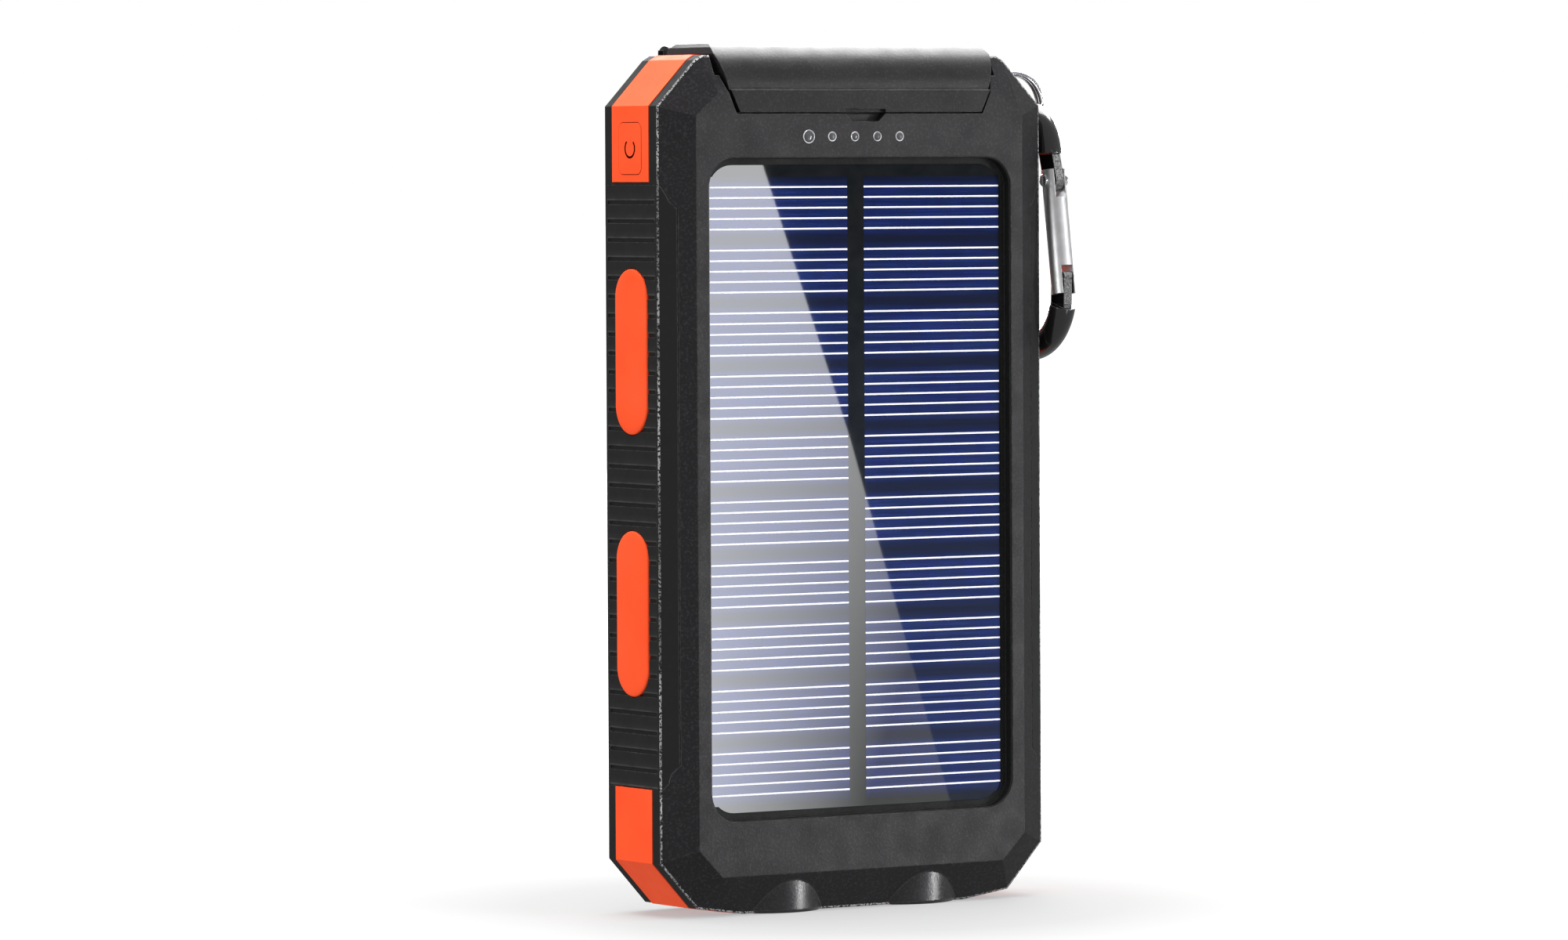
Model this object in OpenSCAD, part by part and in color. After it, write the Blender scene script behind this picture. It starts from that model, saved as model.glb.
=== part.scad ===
// Solar phone charger: a rugged power bank with a solar panel, two torches, a compass and a snap hook.
// It stands on its torch end. X runs across the front, Y from front to back, Z up to the port cover.

/* [Case] */
// Width across the two side grips
case_w = 76; // [75:0.5:77]
// Height of the case without its port cover
case_h = 140.4; // [140:0.1:141]
// Distance of the front face from the middle plane
front_y = 11.1; // [11:0.05:11.3]
// Distance of the back face from the middle plane
back_y = 9.3; // [9.2:0.05:9.4]
// Half thickness of the rubber band round the edge
band_y = 7.87; // [7.8:0.01:7.9]
// Thickness of the rubber band
band_t = 2; // [1.8:0.1:2.1]
// Thickness of the shell walls
wall_t = 1.8; // [1.6:0.1:1.9]

/* [Solar panel] */
// Width of the panel recess
panel_w = 60; // [58:0.5:60]
// Height of the panel recess
panel_h = 108.9; // [106:0.1:109]
// Lower edge of the panel recess
panel_z = 15.55; // [15:0.05:16.5]
// Corner radius of the panel recess
panel_r = 5; // [4:0.5:6]
// Depth of the panel's surface below the front face
panel_depth = 1.85; // [1.6:0.05:2]

/* [Torches] */
// Distance of each torch axis from the centre
torch_x = 13.4; // [13:0.1:13.8]
// Radius of the torch housing bulge
bulge_r = 10.5; // [10.3:0.1:10.6]
// Radius of the orange ring round each torch
ring_r = 9.6; // [9.2:0.1:9.8]
// Radius of the opening in front of each lens
aperture_r = 7; // [6.5:0.1:7.2]

/* [Port cover] */
// Height of the top of the port cover
cover_top = 143.4; // [143.2:0.1:143.6]
// Height of the port face under the cover
port_z = 137.9; // [137.8:0.1:138]
// Distance of the hinge axis behind the middle plane
hinge_y = 8.9; // [8.8:0.05:9]
// Height of the hinge axis
hinge_z = 140.6; // [140.5:0.05:140.7]
// Outer radius of the hinge barrel
barrel_r = 2.05; // [2:0.05:2.1]
// Radius of the hinge pin
pin_r = 0.75; // [0.7:0.05:0.8]

/* [Snap hook] */
// Bar radius of the snap hook
hook_r = 2.2; // [2:0.1:2.2]
// Distance of the snap hook's plane from the centre
hook_x = 40.75; // [40.7:0.05:40.9]
// Radius of the split ring to the middle of its wire
split_r = 5.5; // [5.4:0.05:5.6]
// Wire radius of the split ring
wire_r = 0.5; // [0.4:0.05:0.5]

/* [Hidden] */
$fn = 64;
eps = 0.01;
far = 200;

// Outline of the case seen from the front
side_x = case_w / 2;
low_corner = [31, 1.4];
low_flat_x = 22;
low_flat_z = 0.1;
low_side_z = 9;
top_corner_x = 30.7;
top_peak = [29.3, case_h + 0.8];
top_side_z = case_h - 7.5;
corner_slope = 0.414;

// Front and back faces inside their bevels
front_x = 32.35;
front_cut_x = 27.9;
front_low = [11.1, 6.6];
front_high = [131.3, 135];
back_inset = 4.5;

// Inside of the case
floor_y = 6.5;
lid_y = 7.8;
cavity_t = band_t + wall_t;

// Port bay between the two corner blocks
bay_low = [24.4, 131.6];
bay_mid = [26.2, 135.6];
bay_top = [27.8, 140.5];
bay_depth = 2.5;
cover_gap = 0.5;
tab_x = 0.9;

// Raised plate on the back
plate_y = 11;
plate_x = 25.7;
plate_far = [9.2, 118.6];
plate_far_r = 6.2;
plate_slope = 1.7;
slot_x = 22;
barrel_x = 19.6;

// Side grips
grip_low = 21.2;
grip_high = 120.1;
rib_pitch = 3.1;
rib_cut_r = 0.35;
rib_cut_depth = 0.3;
rib_half = 7.2;
lip_t = 0.9;
pad_z = [49.7, 92.7];
pad_half = [4.8, 13.6];
pad_rise = 0.35;

// Orange strips
strip_y = 5.6;
strip_t = 1.2;
strip_rise = 0.1;
strip_split = 120.5;
strip_low_top = 21.1;
strip_gap = 0.1;
button_z = 126;
button_half = [3.4, 4.2];
button_gap = 0.1;
button_stem = 32.45;

// Panel layers, from the front
resin_t = 0.3;
cell_t = 0.2;
board_t = 1;
panel_gap = 0.25;
cell_rows = 10;
cell_pitch = 10.32;
cell_gap = 0.25;
bus_gap = 3.3;
cell_x = 28.7;
cell_low = panel_z + 2.65;

// Charge indicator lights
light_z = 127.85;
big_light = [-10.35, 1];
small_lights = [-5.75, -1.25, 3.2, 7.65];
small_light_r = 0.68;

// Electronics
pcb_y = -5.4;
pcb_t = 1.2;
pcb_low = 113.5;
pcb_high = 133.9;
usb_x = 14;
usb_size = [13.1, 5.7, 14];
usb_wall = 0.35;
micro_size = [7.6, 2.6, 5.5];
micro_wall = 0.3;
frame_low = 135.4;
cell_box = [58, 6.2, 88];
cell_box_z = 22.5;
foam_t = 0.6;
lead_r = 0.55;

// Torch parts
lens_r = 7.5;
bore_r = 7.7;
lens_t = 1.3;
reflector_top = 14.6;

// Compass
compass_z = 128.4;
bezel_r = 7.75;
bowl_r = 6.7;
bowl_in_r = 6.1;
bowl_back = 11.2;
card_r = 5.8;

// Case screws
screw_spots = [[-28.4, 132.4], [28.4, 132.4], [-28.6, 10.9], [28.6, 10.9]];
boss_r = 2.4;
plug_r = 2;
screw_r = 1;
head_r = 1.8;

// Split ring and the tunnel it runs in
ring_at = [38.3, 132.9];
tunnel_r = 1.5;
coil_y = 0.45;

// Snap hook centreline: a small bow at the top, a large bow below and a straight spine
hook_top = [0.75, 124.3, 7.6];
hook_low = [-1.38, 101.9, 9.73];
gate_r = 2;
gate_pin = [-8.3, 120.4];
gate_end = [-11.1, 101.5];
gate_lean = atan2(gate_pin[0] - gate_end[0], gate_pin[1] - gate_end[1]);
gate_len = 19.3;
gate_head = 1.75;
top_turn = 175.5;
low_turn = 164.5;
tang_t = 1.6;
tang_r = 1.9;
slit_t = 2;
nose_slit_t = 2.3;
rivet_r = 0.7;

// Right end of the case's top, moved in by t: the outer skins rise a little more beside the port bay
function top_end(t) = t < 2.5
    ? [[top_corner_x - 0.618 * t, case_h - 0.798 * t], [top_peak[0] - 0.266 * t, top_peak[1] - t]]
    : [[top_corner_x - corner_slope * t, case_h - t]];

// Case outline moved in by t, as points of X and Z
function outline(t) = concat(
    [
        [-side_x + t, low_side_z + corner_slope * t],
        [-low_corner[0] + corner_slope * t, low_corner[1] + t],
        [-low_flat_x, low_flat_z + t],
        [low_flat_x, low_flat_z + t],
        [low_corner[0] - corner_slope * t, low_corner[1] + t],
        [side_x - t, low_side_z + corner_slope * t],
        [side_x - t, top_side_z - corner_slope * t]
    ],
    top_end(t),
    [for (i = [len(top_end(t)) - 1 : -1 : 0]) [-top_end(t)[i][0], top_end(t)[i][1]]],
    [[-side_x + t, top_side_z - corner_slope * t]]
);

// Octagon of the front face
function front_outline() = [
    [-front_x, front_low[0]], [-front_cut_x, front_low[1]],
    [front_cut_x, front_low[1]], [front_x, front_low[0]],
    [front_x, front_high[0]], [front_cut_x, front_high[1]],
    [-front_cut_x, front_high[1]], [-front_x, front_high[0]]
];

// Front view of the port bay, widening upwards
function bay_outline(gap, top) = [
    [-bay_low[0] + gap, bay_low[1] + gap / 2], [bay_low[0] - gap, bay_low[1] + gap / 2],
    [bay_mid[0] - gap, bay_mid[1]], [bay_top[0] - gap, bay_top[1]], [bay_top[0] - gap, top],
    [-bay_top[0] + gap, top], [-bay_top[0] + gap, bay_top[1]], [-bay_mid[0] + gap, bay_mid[1]]
];

// Part of a side that the grip's lip covers, reaching reach in from the edge
function lip_outline(reach) = [
    [-side_x - 1, 20.8], [-side_x + 0.1, 20.8], [-side_x + 1.3, 22.3], [-side_x + 1.7, 23.9],
    [-side_x + reach, 25.2], [-side_x + reach, 116.1], [-side_x + 1.7, 117.3],
    [-side_x + 1.4, 118.2], [-side_x + 0.6, 119.6], [-side_x + 0.1, 120.3], [-side_x - 1, 120.3]
];

// Extrudes a front view outline from y0 back to y1
module slab(points, y0, y1) {
    translate([0, y1, 0]) rotate([90, 0, 0]) linear_extrude(y1 - y0) polygon(points);
}

// Prism of the case outline moved in by t
module case_prism(t, y0, y1) {
    slab(outline(t), y0, y1);
}

// Box given by its low and high corners
module block(low, high) {
    translate(low) cube(high - low);
}

// Rounded rectangle in front view, from y0 back to y1
module rounded(x0, x1, z0, z1, r, y0, y1) {
    block([x0 + r, y0, z0], [x1 - r, y1, z1]);
    block([x0, y0, z0 + r], [x1, y1, z1 - r]);
    for (x = [x0 + r, x1 - r], z = [z0 + r, z1 - r])
        translate([x, y0, z]) rotate([-90, 0, 0]) cylinder(r = r, h = y1 - y0);
}

// Cylinder along Y from y0 to y1
module rod_y(x, z, r, y0, y1) {
    translate([x, y0, z]) rotate([-90, 0, 0]) cylinder(r = r, h = y1 - y0);
}

// Cylinder along X from x0 to x1
module rod_x(x0, x1, y, z, r) {
    translate([x0, y, z]) rotate([0, 90, 0]) cylinder(r = r, h = x1 - x0);
}

// Cylinder along Z from z0 to z1
module rod_z(x, y, r, z0, z1) {
    translate([x, y, z0]) cylinder(r = r, h = z1 - z0);
}

// Straight round bar between two points
module bar(a, b, r) {
    d = b - a;
    length = norm(d);
    translate(a)
        rotate([0, acos(d[2] / length), atan2(d[1], d[0])])
            cylinder(r = r, h = length);
}

// Wire along a list of points, with round joints
module wire(points, r) {
    for (i = [0 : len(points) - 2]) bar(points[i], points[i + 1], r);
    for (i = [1 : len(points) - 2]) translate(points[i]) sphere(r = 1.15 * r, $fn = 24);
}

// Solid bevelled front of the case
module front_block() {
    hull() {
        slab(outline(0), -band_y - eps, -band_y);
        slab(front_outline(), -front_y, -front_y + eps);
    }
}

// Solid bevelled back of the case
module back_block() {
    hull() {
        slab(outline(0), band_y, band_y + eps);
        slab(outline(back_inset), back_y - eps, back_y);
    }
}

// Room above the port face, between the corner blocks
module port_bay() {
    slab(bay_outline(0, 150), -20, -front_y + bay_depth);
    block([-bay_top[0], -20, port_z], [bay_top[0], 6.3, 150]);
}

// Front view of the port cover, with rounded top corners
function cover_outline() = [
    [-bay_low[0] + cover_gap, bay_low[1] + 0.25], [bay_low[0] - cover_gap, bay_low[1] + 0.25],
    [bay_mid[0] - cover_gap, bay_mid[1]], [27.4, cover_top - 1.9], [27.1, cover_top - 0.9],
    [26.4, cover_top - 0.25], [25.4, cover_top + 0.1], [-25.4, cover_top + 0.1],
    [-26.4, cover_top - 0.25], [-27.1, cover_top - 0.9], [-27.4, cover_top - 1.9],
    [-bay_mid[0] + cover_gap, bay_mid[1]]
];

// Fingernail notch under the cover's lip
module nail_notch(depth) {
    notch = [[-2.6, 130.3], [2.6, 130.3], [4.05, 131.7], [4.05, 132.4], [-4.05, 132.4], [-4.05, 131.7]];
    translate([tab_x, 0, 0]) slab(notch, -20, -front_y + depth);
}

// Ring tunnel through the corner
module ring_tunnel(r) {
    translate([ring_at[0], 0, ring_at[1]]) rotate([90, 0, 0])
        rotate_extrude($fn = 96) translate([split_r, 0]) circle(r = r);
}

// Solid corner that carries the ring tunnel, between y0 and y1
module ring_anchor(y0, y1) {
    intersection() {
        case_prism(band_t, y0, y1);
        block([30.95, y0, 124.5], [60, y1, 150]);
    }
}

// Bores for the two torches
module torch_bores(r, z0, z1) {
    for (x = [-torch_x, torch_x]) rod_z(x, 0, r, z0, z1);
}

// Window for the power button's stem through the left wall
module button_window(grow) {
    block([-60, -button_half[0] - grow, button_z - button_half[1] - grow],
          [-30, button_half[0] + grow, button_z + button_half[1] + grow]);
}

module front_shell() {
    color([0.26, 0.25, 0.27]) difference() {
        union() {
            front_block();
            difference() {
                case_prism(band_t, -band_y, 0);
                case_prism(cavity_t, -floor_y, 1);
            }
            ring_anchor(-3.2, 0);
            for (s = screw_spots) rod_y(s[0], s[1], boss_r, -floor_y - eps, 0);
            intersection() {
                union() {
                    torch_bores(bulge_r, 0.5, 9);
                    for (x = [-torch_x, torch_x])
                        translate([x, 0, 0]) cylinder(r1 = bulge_r - 0.4, r2 = bulge_r, h = 0.5);
                }
                block([-30, -20, -1], [30, -band_y, 12]);
            }
        }
        rounded(-panel_w / 2, panel_w / 2, panel_z, panel_z + panel_h, panel_r, -20,
                -front_y + panel_depth + resin_t + cell_t + board_t);
        rod_y(big_light[0], light_z, big_light[1], -20, 0);
        for (x = small_lights) rod_y(x, light_z, small_light_r, -20, 0);
        for (x = [-3, 3]) rod_y(x, 118, 0.8, -20, 0);
        for (s = screw_spots) rod_y(s[0], s[1], screw_r - 0.1, -floor_y, 1);
        port_bay();
        nail_notch(1.6);
        torch_bores(bore_r, -1, 16.4);
        torch_bores(ring_r + strip_gap, -1, strip_t);
        ring_tunnel(tunnel_r);
        button_window(0.2);
        block([-25.4, -8.6, frame_low - 0.1], [25.4, 1, 150]);
        for (side = [0, 1]) mirror([side, 0, 0]) difference() {
            slab(lip_outline(2.9 + 0.12), -20, -band_y + eps);
            translate([0, lip_t, 0]) front_block();
        }
    }
}

// Raised plate with sloped sides and a round far end
module raised_plate() {
    hull() {
        for (s = [-1, 1], level = [0, 1]) {
            grow = plate_slope * (1 - level);
            y = level == 0 ? back_y - 0.1 : plate_y - 0.1;
            rod_y(s * plate_far[0], plate_far[1], plate_far_r + grow, y, y + 0.1, $fn = 48);
            x = s * (plate_x - 1 + grow * 0.6);
            block([x - 1, y, 139.6 - grow], [x + 1, y + 0.1, 142.2]);
        }
    }
}

// Long shallow groove with round ends
module back_groove(x) {
    r = 1.15;
    block([x - r, back_y - 0.6, 17.4 + r], [x + r, 20, 127.4 - r]);
    for (z = [17.4 + r, 127.4 - r]) rod_y(x, z, r, back_y - 0.6, 20);
}

module back_shell() {
    color([0.13, 0.13, 0.14]) difference() {
        union() {
            back_block();
            difference() {
                case_prism(band_t, 0.3, band_y + eps);
                case_prism(cavity_t, 0, lid_y);
            }
            raised_plate();
            for (s = [-1, 1]) rod_x(s < 0 ? -plate_x : slot_x, s < 0 ? -slot_x : plate_x,
                                    hinge_y, hinge_z, barrel_r + 0.25);
            ring_anchor(0.3, 3.2);
            for (s = screw_spots) rod_y(s[0], s[1], boss_r, 0.3, lid_y + eps);
            intersection() {
                union() {
                    torch_bores(bulge_r, 0.5, 6);
                    for (x = [-torch_x, torch_x]) {
                        translate([x, 0, 0]) cylinder(r1 = bulge_r - 0.4, r2 = bulge_r, h = 0.5);
                        translate([x, 0, 6]) cylinder(r1 = bulge_r, r2 = back_y - 0.6, h = 5);
                    }
                }
                block([-30, band_y, -1], [30, 20, 14]);
            }
        }
        block([-slot_x, 6.3, port_z], [slot_x, 20, 150]);
        block([-slot_x, hinge_y, hinge_z - barrel_r - 0.9], [slot_x, 20, 150]);
        block([-bay_top[0], 0, port_z], [bay_top[0], 6.3, 150]);
        block([-25.4, -1, frame_low - 0.1], [25.4, 6.3, 150]);
        rod_x(-30, 30, hinge_y, hinge_z, pin_r);
        rod_y(0, compass_z, bowl_r + 0.05, 0, 20);
        rod_y(0, compass_z, bezel_r + 0.05, bowl_back - 0.7, 20);
        for (s = screw_spots) {
            rod_y(s[0], s[1], plug_r, back_y - 1.2, 20);
            rod_y(s[0], s[1], head_r + 0.1, 5.5, 20);
            rod_y(s[0], s[1], screw_r + 0.2, 0, 20);
        }
        for (s = [-1, 1]) back_groove(s * 28);
        torch_bores(bore_r, -1, 16.4);
        torch_bores(ring_r + strip_gap, -1, strip_t);
        ring_tunnel(tunnel_r);
        button_window(0.2);
        for (side = [0, 1]) mirror([side, 0, 0]) difference() {
            slab(lip_outline(4.2 + 0.12), band_y - eps, 20);
            translate([0, -0.7, 0]) back_block();
        }
    }
}

module gasket_strips() {
    color("dimgray") difference() {
        case_prism(band_t + 0.3, 0, 0.3);
        case_prism(cavity_t - 0.3, -1, 1);
        block([-bay_top[0], -1, port_z - 2.6], [bay_top[0], 1, 150]);
        torch_bores(bore_r, -1, 16.4);
        ring_tunnel(tunnel_r + 0.3);
        button_window(0.3);
    }
}

// Rubber band round the edge, with the pocket for the orange strips
module edge_band() {
    difference() {
        case_prism(0, -band_y, band_y);
        case_prism(band_t, -20, 20);
        strip_ring(strip_gap);
    }
}

module bumper_end() {
    color([0.15, 0.15, 0.15]) difference() {
        edge_band();
        block([-60, -20, grip_low], [60, 20, 160]);
        torch_bores(bore_r, -1, 4);
        torch_bores(ring_r + strip_gap, -1, strip_t);
    }
}

module corner_guard_left() {
    color([0.15, 0.15, 0.15]) difference() {
        edge_band();
        block([-60, -20, -10], [60, 20, grip_high]);
        block([-bay_top[0], -20, -10], [60, 20, 160]);
        button_window(0.2);
    }
}

module corner_guard_right() {
    color([0.15, 0.15, 0.15]) difference() {
        edge_band();
        block([-60, -20, -10], [60, 20, grip_high]);
        block([-60, -20, -10], [bay_top[0], 20, 160]);
        ring_tunnel(tunnel_r);
    }
}

// Shallow band all round the edge that the orange strips fill, grown sideways by gap
module strip_ring(gap) {
    difference() {
        case_prism(-strip_rise, -strip_y - gap, strip_y + gap);
        case_prism(strip_t - strip_rise, -20, 20);
        for (s = [-1, 1])
            block([s < 0 ? -60 : 20, -20, strip_low_top + gap], [s < 0 ? -20 : 60, 20, strip_split - gap]);
        block([-bay_top[0] - 0.2 + 5 * gap, -20, 100], [bay_top[0] + 0.2 - 5 * gap, 20, 150]);
    }
}

// Ribbed grip on the left side
module side_grip() {
    difference() {
        union() {
            intersection() {
                difference() {
                    case_prism(0, -band_y, band_y);
                    case_prism(band_t, -20, 20);
                }
                block([-60, -20, grip_low + 0.05], [-30, 20, grip_high - 0.05]);
            }
            intersection() {
                difference() {
                    front_block();
                    translate([0, lip_t, 0]) front_block();
                }
                slab(lip_outline(2.9), -20, -band_y + eps);
            }
            intersection() {
                difference() {
                    back_block();
                    translate([0, -0.7, 0]) back_block();
                }
                slab(lip_outline(4.2), band_y - eps, 20);
            }
        }
        for (i = [0 : 30])
            rod_y(-side_x - rib_cut_r + rib_cut_depth, grip_low + 3 + i * rib_pitch, rib_cut_r,
                  -rib_half, rib_half);
        for (z = pad_z) grip_pad(z, 0.15);
    }
}

// Orange oval pad set into a grip
module grip_pad(z, grow) {
    y = pad_half[0] + grow;
    reach = pad_half[1] - pad_half[0];
    x0 = -side_x - pad_rise;
    x1 = -side_x + 1;
    for (s = [-1, 1]) rod_x(x0, x1, 0, z + s * reach, y);
    block([x0, -y, z - reach], [x1, y, z + reach]);
}

module grip_left() {
    color([0.16, 0.16, 0.16]) side_grip();
}

module grip_right() {
    color([0.16, 0.16, 0.16]) mirror([1, 0, 0]) side_grip();
}

module grip_pads_left() {
    color([1, 0.38, 0.22]) for (z = pad_z) grip_pad(z, 0);
}

module grip_pads_right() {
    color([1, 0.38, 0.22]) mirror([1, 0, 0]) for (z = pad_z) grip_pad(z, 0);
}

module corner_strip_left() {
    color([1, 0.38, 0.22]) difference() {
        strip_ring(0);
        block([-20, -20, -10], [60, 20, 160]);
        block([-60, -20, -10], [60, 20, 60]);
        power_cap(button_gap, 60);
    }
}

module corner_strip_right() {
    color([1, 0.38, 0.22]) difference() {
        strip_ring(0);
        block([-60, -20, -10], [20, 20, 160]);
        block([-60, -20, -10], [60, 20, 60]);
        ring_tunnel(tunnel_r);
    }
}

module torch_strip() {
    color([1, 0.38, 0.22]) difference() {
        union() {
            intersection() {
                strip_ring(0);
                block([-60, -20, -10], [60, 20, 60]);
            }
            torch_bores(ring_r, 0, strip_t);
        }
        torch_bores(aperture_r, -1, 3);
    }
}

module solar_board() {
    y = -front_y + panel_depth + resin_t + cell_t;
    color([0.05, 0.05, 0.06]) difference() {
        rounded(-panel_w / 2 + panel_gap, panel_w / 2 - panel_gap, panel_z + panel_gap,
                panel_z + panel_h - panel_gap, panel_r - panel_gap, y, y + board_t);
        for (x = [-3, 3]) rod_y(x, 118, lead_r, y, 0);
    }
}

// One solar cell: row counts up from the bottom, side is -1 or 1
module cell(row, side, grow) {
    y = -front_y + panel_depth + resin_t;
    x0 = side < 0 ? -cell_x : bus_gap / 2;
    x1 = side < 0 ? -bus_gap / 2 : cell_x;
    z = cell_low + row * cell_pitch;
    block([x0 - grow, y, z - grow], [x1 + grow, y + cell_t, z + cell_pitch - cell_gap + grow]);
}

module solar_cells() {
    color([0.1, 0.13, 0.45]) for (row = [0 : cell_rows - 1], side = [-1, 1]) cell(row, side, 0);
}

module panel_resin() {
    y = -front_y + panel_depth;
    color([0.5, 0.55, 0.7, 0.3]) difference() {
        rounded(-panel_w / 2 + panel_gap, panel_w / 2 - panel_gap, panel_z + panel_gap,
                panel_z + panel_h - panel_gap, panel_r - panel_gap, y, y + resin_t + cell_t);
        for (row = [0 : cell_rows - 1], side = [-1, 1]) cell(row, side, 0);
    }
}

module panel_leads() {
    y = -front_y + panel_depth + resin_t + cell_t;
    color("firebrick") for (x = [-3, 3]) rod_y(x, 118, lead_r, y, pcb_y);
}

// Clear lens of an indicator light, with a domed front
module light_lens(x, r) {
    intersection() {
        rod_y(x, light_z, r, -front_y - 0.3, -floor_y + 0.3);
        translate([x, -front_y - 0.25 + 2.2 * r, light_z]) scale(2.2 * r) sphere(r = 1, $fn = 48);
    }
    rod_y(x, light_z, r, -front_y + 1, -floor_y + 0.3);
}

module indicator_lenses() {
    color([0.85, 0.87, 0.9]) {
        light_lens(big_light[0], big_light[1]);
        for (x = small_lights) light_lens(x, small_light_r);
    }
}

module indicator_leds() {
    color("white") for (x = concat([big_light[0]], small_lights))
        block([x - 0.8, pcb_y - 0.7, light_z - 0.5], [x + 0.8, pcb_y, light_z + 0.5]);
}

module circuit_board() {
    color([0.05, 0.3, 0.15]) difference() {
        block([-26, pcb_y, pcb_low], [26, pcb_y + pcb_t, pcb_high]);
        for (s = [-1, 1]) rod_y(s * 28.4, 132.4, boss_r + 0.6, -10, 10);
    }
}

module board_parts() {
    y = pcb_y + pcb_t;
    color([0.2, 0.2, 0.22]) {
        block([-4, y, 115], [3, y + 3.6, 122]);
        block([-12, y, 116], [-7, y + 1.2, 121]);
        block([6, y, 115.5], [11, y + 1, 120.5]);
        block([13.5, y, 115], [17.5, y + 1.6, 119]);
        rod_y(21, 118, 2.1, y, y + 4.4);
    }
}

module power_switch() {
    color("silver") block([-31.8, pcb_y + 2.5, button_z - 3], [-28.4, 3.4, button_z + 3]);
    color("silver") block([-28.4, pcb_y, button_z - 2], [-26, 0, button_z + 2]);
}

// Face of the power button, grown by gap, reaching in to x
module power_cap(gap, reach) {
    r = 1.2 + gap;
    y = button_half[0] + gap;
    z = button_half[1] + gap;
    x0 = -side_x - strip_rise - 0.05;
    x1 = x0 + reach;
    block([x0, -y + r, button_z - z], [x1, y - r, button_z + z]);
    block([x0, -y, button_z - z + r], [x1, y, button_z + z - r]);
    for (a = [-y + r, y - r], b = [button_z - z + r, button_z + z - r]) rod_x(x0, x1, a, b, r);
}

module power_button() {
    color([1, 0.38, 0.22]) {
        power_cap(0, 4.35);
        block([-34.1, -button_half[0] - 0.8, button_z - button_half[1] - 0.8],
              [-33.3, button_half[0] + 0.8, button_z + button_half[1] + 0.8]);
        rod_x(-33.4, -button_stem, 0, button_z, 1.6);
    }
}

// Socket shell with the opening upwards; centre x, back face on the board
module socket_shell(x, size, wall) {
    y = pcb_y + pcb_t;
    color("silver") difference() {
        block([x - size[0] / 2, y, port_z - size[2]], [x + size[0] / 2, y + size[1], port_z]);
        block([x - size[0] / 2 + wall, y + wall, port_z - size[2] + wall],
              [x + size[0] / 2 - wall, y + size[1] - wall, port_z + 1]);
    }
}

// Plastic tongue inside a socket
module socket_tongue(x, size, wall, width, thick) {
    y = pcb_y + pcb_t + wall;
    color("white") {
        block([x - size[0] / 2 + wall, y, port_z - size[2] + wall],
              [x + size[0] / 2 - wall, y + size[1] - 2 * wall, port_z - size[2] + wall + 1.5]);
        block([x - width / 2, y + 0.25, port_z - size[2] + wall + 1.4],
              [x + width / 2, y + 0.25 + thick, port_z - 0.9]);
    }
}

module usb_shell_left() {
    socket_shell(-usb_x, usb_size, usb_wall);
}

module usb_shell_right() {
    socket_shell(usb_x, usb_size, usb_wall);
}

module usb_tongue_left() {
    socket_tongue(-usb_x, usb_size, usb_wall, 11.1, 1.85);
}

module usb_tongue_right() {
    socket_tongue(usb_x, usb_size, usb_wall, 11.1, 1.85);
}

module micro_usb_shell() {
    socket_shell(0, micro_size, micro_wall);
}

module micro_usb_tongue() {
    socket_tongue(0, micro_size, micro_wall, 3.7, 0.65);
}

module port_frame() {
    y = pcb_y + pcb_t;
    color([0.12, 0.12, 0.12]) difference() {
        block([-25.2, -8.5, frame_low], [25.2, 6.2, port_z]);
        for (x = [-usb_x, usb_x])
            block([x - usb_size[0] / 2, y, 130], [x + usb_size[0] / 2, y + usb_size[1], 150]);
        block([-micro_size[0] / 2, y, 130], [micro_size[0] / 2, y + micro_size[1], 150]);
    }
}

// Side profile of the port cover: a flat lip, a round nose and a flat top
module cover_profile() {
    nose = [-3.5, 136.4, 7];
    lip_top = 135.6;
    foot = bay_low[1] + 0.25;
    difference() {
        union() {
            polygon([
                [-front_y, foot], [-front_y, lip_top - 0.15], [-front_y + 0.15, lip_top],
                [-10.45, lip_top], [nose[0], lip_top], [nose[0], foot]
            ]);
            translate([nose[0], nose[1]]) circle(r = nose[2], $fn = 96);
            polygon([
                [nose[0], lip_top], [nose[0], cover_top], [2.8, cover_top], [4.6, 143.1],
                [5.8, 142.3], [5.8, port_z + 0.3], [-8, port_z + 0.3]
            ]);
        }
        polygon([[-8.8, foot - 1], [20, foot - 1], [20, port_z + 0.2], [-8.8, port_z + 0.2]]);
    }
}

module port_cover() {
    color([0.24, 0.23, 0.25]) difference() {
        union() {
            intersection() {
                translate([30, 0, 0]) rotate([90, 0, -90]) mirror([1, 0, 0])
                    linear_extrude(60) cover_profile();
                translate([0.2, 0, 0]) slab(cover_outline(), -20, 20);
            }
            rod_x(-barrel_x, barrel_x, hinge_y, hinge_z, barrel_r);
            translate([barrel_x, 0, 0]) rotate([90, 0, -90]) mirror([1, 0, 0])
                linear_extrude(2 * barrel_x)
                    polygon([[5.6, 139.2], [5.6, 142.45], [hinge_y - 0.3, hinge_z + barrel_r - 0.05],
                             [hinge_y, hinge_z], [hinge_y - 1.4, hinge_z - 1.3]]);
        }
        rod_x(-30, 30, hinge_y, hinge_z, pin_r + 0.05);
        block([-23.8, -7.6, port_z - 1], [23.8, 4.4, 140.4]);
        nail_notch(0.8);
    }
}

module port_cover_seal() {
    color([0.1, 0.1, 0.1]) block([-23.6, -7.5, port_z + 0.1], [23.6, 4.2, 140.3]);
}

module hinge_pin() {
    color("silver") rod_x(-plate_x + 0.2, plate_x - 0.2, hinge_y, hinge_z, pin_r);
}

// One flat lithium cell with its front face at y
module flat_cell(y) {
    rounded(-cell_box[0] / 2, cell_box[0] / 2, cell_box_z, cell_box_z + cell_box[2], 1.5, y, y + cell_box[1]);
}

module front_battery() {
    color([0.75, 0.77, 0.8]) flat_cell(-5.9);
}

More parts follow.
